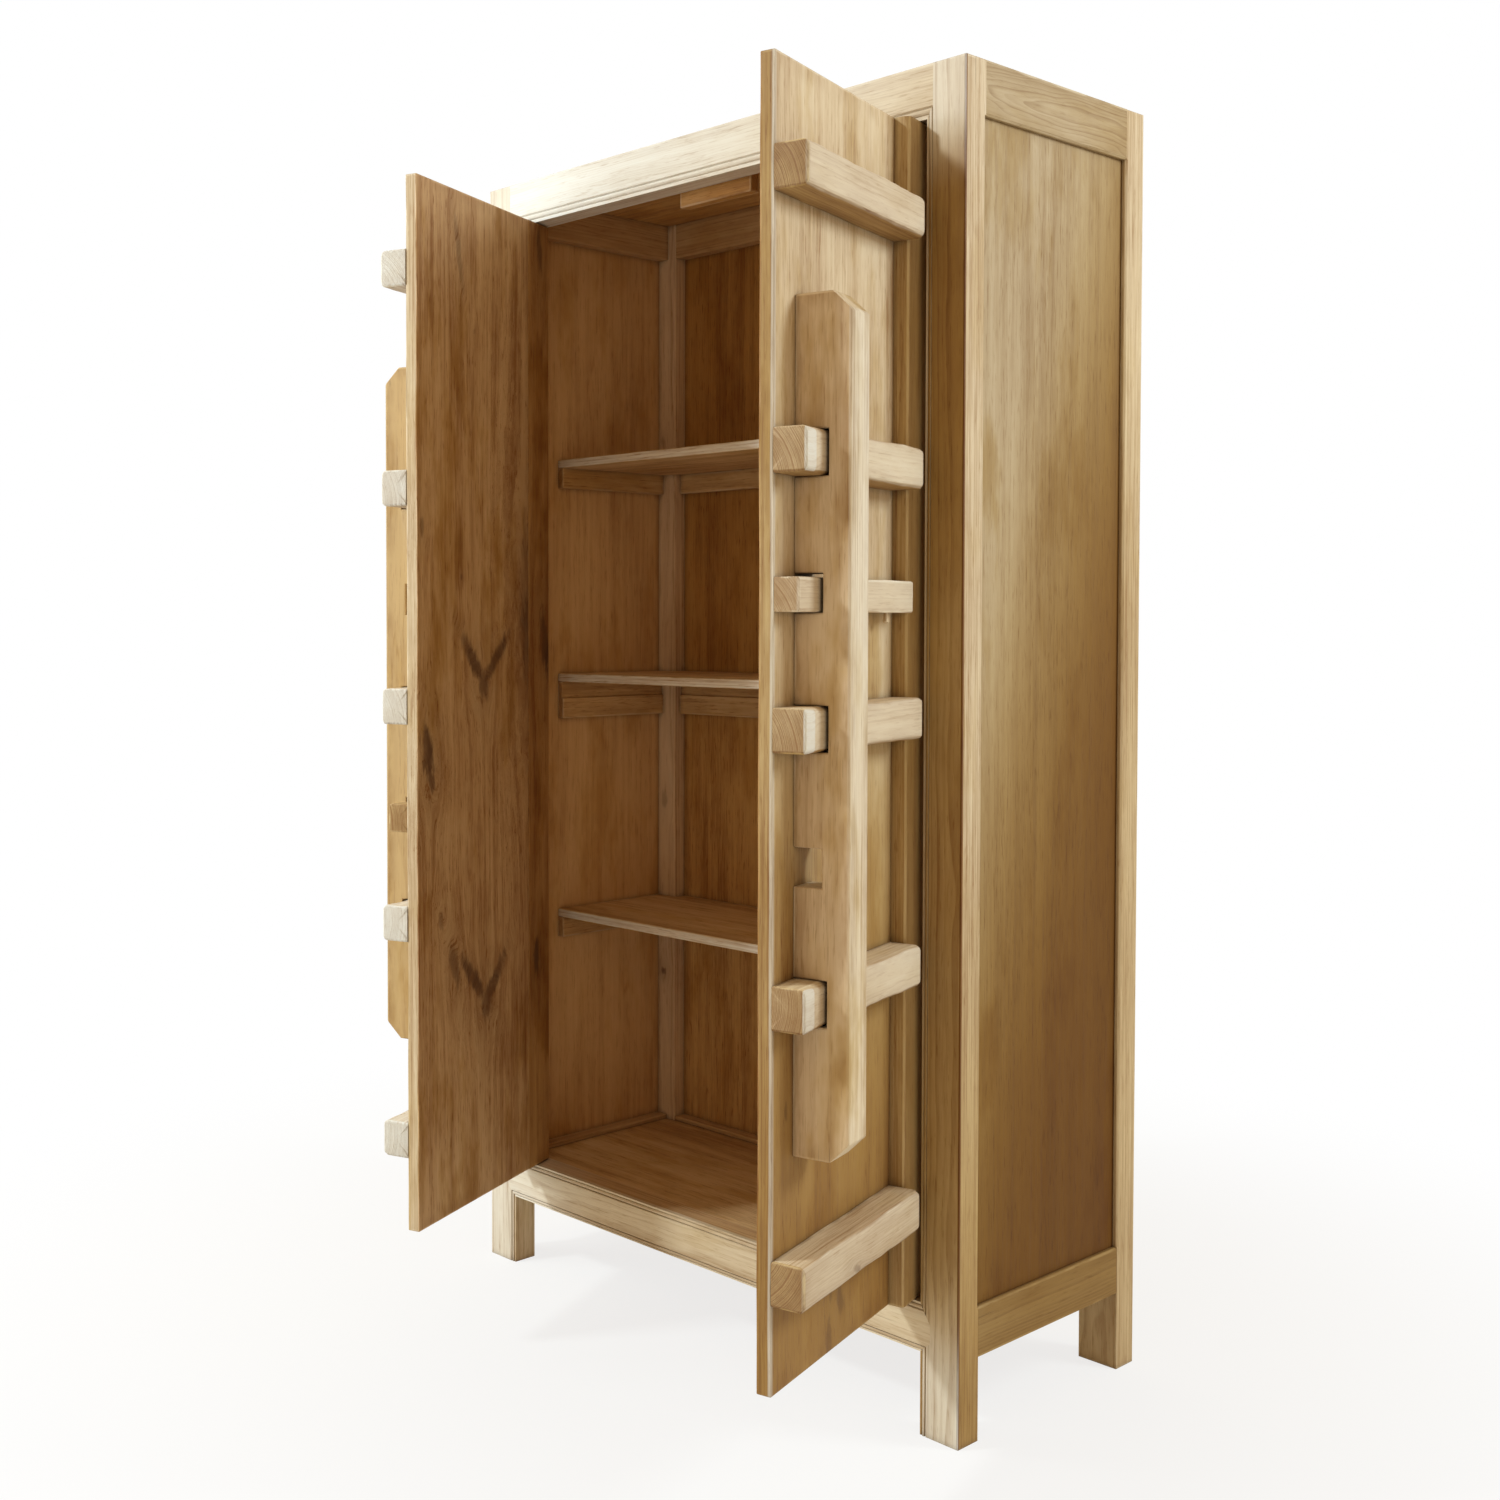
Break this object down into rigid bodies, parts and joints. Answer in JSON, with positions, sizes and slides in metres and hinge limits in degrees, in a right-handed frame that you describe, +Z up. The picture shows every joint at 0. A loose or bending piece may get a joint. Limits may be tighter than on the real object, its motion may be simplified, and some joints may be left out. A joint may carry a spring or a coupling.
{
  "type": "trastero cabinet",
  "caption": "Tall framed wooden cupboard on post legs, with shelves inside and batten doors that turn on wooden pivots and lock with sliding wooden bolts.",
  "frame": {"origin": "on the floor, at the centre of the four legs' outline", "axes": "+X to the cabinet's right as seen from the front, +Y from the front to the back, +Z up"},
  "size_m": [1.1278, 0.8872, 2],
  "materials": {
    "weathered_frame_wood": "bleached and worn, matt",
    "weathered_door_wood": "weathered outside, brown inside, worn pale at the edges",
    "brown_inside_wood": "brown, waxed, low sheen",
    "dark_worn_wood": "rubbed smooth by sliding"
  },
  "bodies": {
    "carcass": {"back_bottom_rail": "weathered_frame_wood", "back_left_post": "weathered_frame_wood", "back_panel": "brown_inside_wood", "back_right_post": "weathered_frame_wood", "back_top_rail": "weathered_frame_wood", "door_stop_block": "brown_inside_wood", "floor_panel": "brown_inside_wood", "front_bottom_rail": "weathered_frame_wood", "front_left_post": "weathered_frame_wood", "front_right_post": "weathered_frame_wood", "front_top_rail": "weathered_frame_wood", "left_bottom_rail": "weathered_frame_wood", "left_side_panel": "weathered_frame_wood", "left_top_rail": "weathered_frame_wood", "lower_shelf": "brown_inside_wood", "lower_shelf_back_bearer": "brown_inside_wood", "lower_shelf_left_bearer": "brown_inside_wood", "lower_shelf_right_bearer": "brown_inside_wood", "middle_shelf": "brown_inside_wood", "middle_shelf_back_bearer": "brown_inside_wood", "middle_shelf_left_bearer": "brown_inside_wood", "middle_shelf_right_bearer": "brown_inside_wood", "right_bottom_rail": "weathered_frame_wood", "right_side_panel": "weathered_frame_wood", "right_top_rail": "weathered_frame_wood", "top_panel": "brown_inside_wood", "upper_shelf": "brown_inside_wood", "upper_shelf_back_bearer": "brown_inside_wood", "upper_shelf_left_bearer": "brown_inside_wood", "upper_shelf_right_bearer": "brown_inside_wood"},
    "right_door": {"right_bottom_batten": "weathered_door_wood", "right_door_board": "weathered_door_wood", "right_hinge_stile": "weathered_door_wood", "right_lock_board": "weathered_door_wood", "right_lower_batten": "weathered_door_wood", "right_middle_batten": "weathered_door_wood", "right_pivot_pins": "dark_worn_wood", "right_top_batten": "weathered_door_wood", "right_upper_batten": "weathered_door_wood"},
    "left_door": {"left_bottom_batten": "weathered_door_wood", "left_door_board": "weathered_door_wood", "left_hinge_stile": "weathered_door_wood", "left_lock_board": "weathered_door_wood", "left_lower_batten": "weathered_door_wood", "left_middle_batten": "weathered_door_wood", "left_pivot_pins": "dark_worn_wood", "left_top_batten": "weathered_door_wood", "left_upper_batten": "weathered_door_wood"},
    "right_bolt": {"right_bolt": "dark_worn_wood", "right_bolt_peg": "dark_worn_wood"},
    "left_bolt": {"left_bolt": "dark_worn_wood", "left_bolt_peg": "dark_worn_wood"}
  },
  "joints": [
    {"name": "right_door_hinge", "type": "hinge", "parent": "carcass", "child": "right_door", "pos_m": [0.438, -0.222, 0.2], "axis": [0, 0, 1], "range_deg": [-104.6, 20]},
    {"name": "left_door_hinge", "type": "hinge", "parent": "carcass", "child": "left_door", "pos_m": [-0.438, -0.222, 0.2], "axis": [0, 0, -1], "range_deg": [-69.1, 55]},
    {"name": "right_bolt_slide", "type": "slide", "parent": "right_door", "child": "right_bolt", "axis": [0.2521, -0.9677, 0], "range_m": [-0.008, 0.19]},
    {"name": "left_bolt_slide", "type": "slide", "parent": "left_door", "child": "left_bolt", "axis": [0.3567, -0.9342, 0], "range_m": [-0.008, 0.19]}
  ]
}
